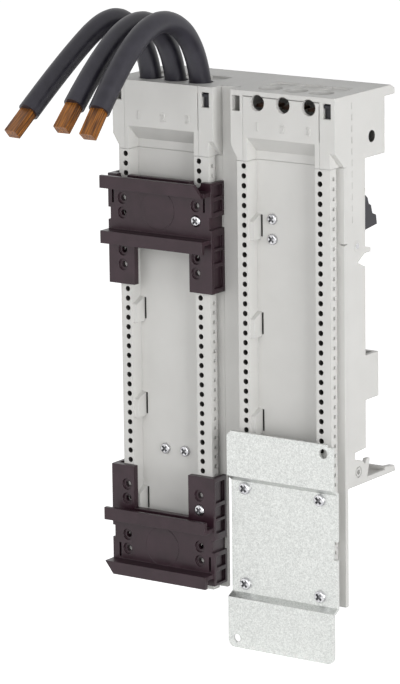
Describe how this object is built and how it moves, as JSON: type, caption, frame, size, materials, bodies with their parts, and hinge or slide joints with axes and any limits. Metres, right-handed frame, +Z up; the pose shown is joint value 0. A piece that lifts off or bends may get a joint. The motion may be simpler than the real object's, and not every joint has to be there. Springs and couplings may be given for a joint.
{
  "type": "busbar adapter",
  "caption": "Side-by-side busbar adapters for a 60 mm busbar system, with hole strips, rail supports, a folded mounting plate and stiff supply cables.",
  "frame": {"origin": "middle of the upper busbar seat, on the plane the busbars rest on", "axes": "+X to the right across the pair, +Y to the rear towards the busbars, +Z up"},
  "size_m": [0.1381, 0.143, 0.3266],
  "materials": {
    "light_grey_plastic": "fine moulded plastic, light grey",
    "black_plastic": "moulded plastic, black",
    "zinc_steel": "bright zinc-plated steel",
    "zinc_plate": "zinc-plated sheet steel",
    "copper": "bare copper",
    "cable_sheath": "smooth black insulation"
  },
  "bodies": {
    "frame": {"left_rear_housing": "light_grey_plastic", "left_front_carrier": "light_grey_plastic", "left_terminal_cover": "light_grey_plastic", "left_latch_pin": "zinc_steel", "left_phase_straps": "copper", "left_carrier_screws": "zinc_steel", "right_rear_housing": "light_grey_plastic", "right_front_carrier": "light_grey_plastic", "right_terminal_cover": "light_grey_plastic", "right_latch_pin": "zinc_steel", "right_phase_straps": "copper", "right_carrier_screws": "zinc_steel", "side_spacer": "light_grey_plastic", "coupling_dowels": "light_grey_plastic", "upper_rail_support": "black_plastic", "lower_rail_support": "black_plastic", "rail_support_screws": "zinc_steel", "mounting_plate": "zinc_plate", "plate_screws": "zinc_steel", "cable_1": "cable_sheath", "conductor_end_1": "copper", "cable_2": "cable_sheath", "conductor_end_2": "copper", "cable_3": "cable_sheath", "conductor_end_3": "copper"},
    "left_latch": {"left_busbar_latch": "black_plastic"},
    "left_release": {"left_release_slider": "black_plastic"},
    "left_contact_upper_body": {"left_contact_upper": "copper"},
    "left_contact_middle_body": {"left_contact_middle": "copper"},
    "left_contact_lower_body": {"left_contact_lower": "copper"},
    "right_latch": {"right_busbar_latch": "black_plastic"},
    "right_release": {"right_release_slider": "black_plastic"},
    "right_contact_upper_body": {"right_contact_upper": "copper"},
    "right_contact_middle_body": {"right_contact_middle": "copper"},
    "right_contact_lower_body": {"right_contact_lower": "copper"}
  },
  "joints": [
    {"name": "left_latch_hinge", "type": "hinge", "parent": "frame", "child": "left_latch", "pos_m": [-0.00825, -0.0073, -0.0251], "axis": [1, 0, 0], "range_deg": [0, 40]},
    {"name": "left_release_slide", "type": "slide", "parent": "frame", "child": "left_release", "axis": [0, 0, 1], "range_m": [-0.0051, 0], "stiffness_N_per_m": 150, "springref_m": 0.002},
    {"name": "left_contact_upper_slide", "type": "slide", "parent": "frame", "child": "left_contact_upper_body", "axis": [0, 1, 0], "range_m": [-0.002, 0], "stiffness_N_per_m": 150, "springref_m": 0.002},
    {"name": "left_contact_middle_slide", "type": "slide", "parent": "frame", "child": "left_contact_middle_body", "axis": [0, 1, 0], "range_m": [-0.002, 0], "stiffness_N_per_m": 150, "springref_m": 0.002},
    {"name": "left_contact_lower_slide", "type": "slide", "parent": "frame", "child": "left_contact_lower_body", "axis": [0, 1, 0], "range_m": [-0.002, 0], "stiffness_N_per_m": 150, "springref_m": 0.002},
    {"name": "right_latch_hinge", "type": "hinge", "parent": "frame", "child": "right_latch", "pos_m": [0.06375, -0.0073, -0.0251], "axis": [1, 0, 0], "range_deg": [0, 40]},
    {"name": "right_release_slide", "type": "slide", "parent": "frame", "child": "right_release", "axis": [0, 0, 1], "range_m": [-0.0051, 0], "stiffness_N_per_m": 150, "springref_m": 0.002},
    {"name": "right_contact_upper_slide", "type": "slide", "parent": "frame", "child": "right_contact_upper_body", "axis": [0, 1, 0], "range_m": [-0.002, 0], "stiffness_N_per_m": 150, "springref_m": 0.002},
    {"name": "right_contact_middle_slide", "type": "slide", "parent": "frame", "child": "right_contact_middle_body", "axis": [0, 1, 0], "range_m": [-0.002, 0], "stiffness_N_per_m": 150, "springref_m": 0.002},
    {"name": "right_contact_lower_slide", "type": "slide", "parent": "frame", "child": "right_contact_lower_body", "axis": [0, 1, 0], "range_m": [-0.002, 0], "stiffness_N_per_m": 150, "springref_m": 0.002}
  ],
  "couplings": [
    {"joint": "left_latch_hinge", "follows": "left_release_slide", "rad_per_m": -136.85},
    {"joint": "right_latch_hinge", "follows": "right_release_slide", "rad_per_m": -136.85}
  ]
}
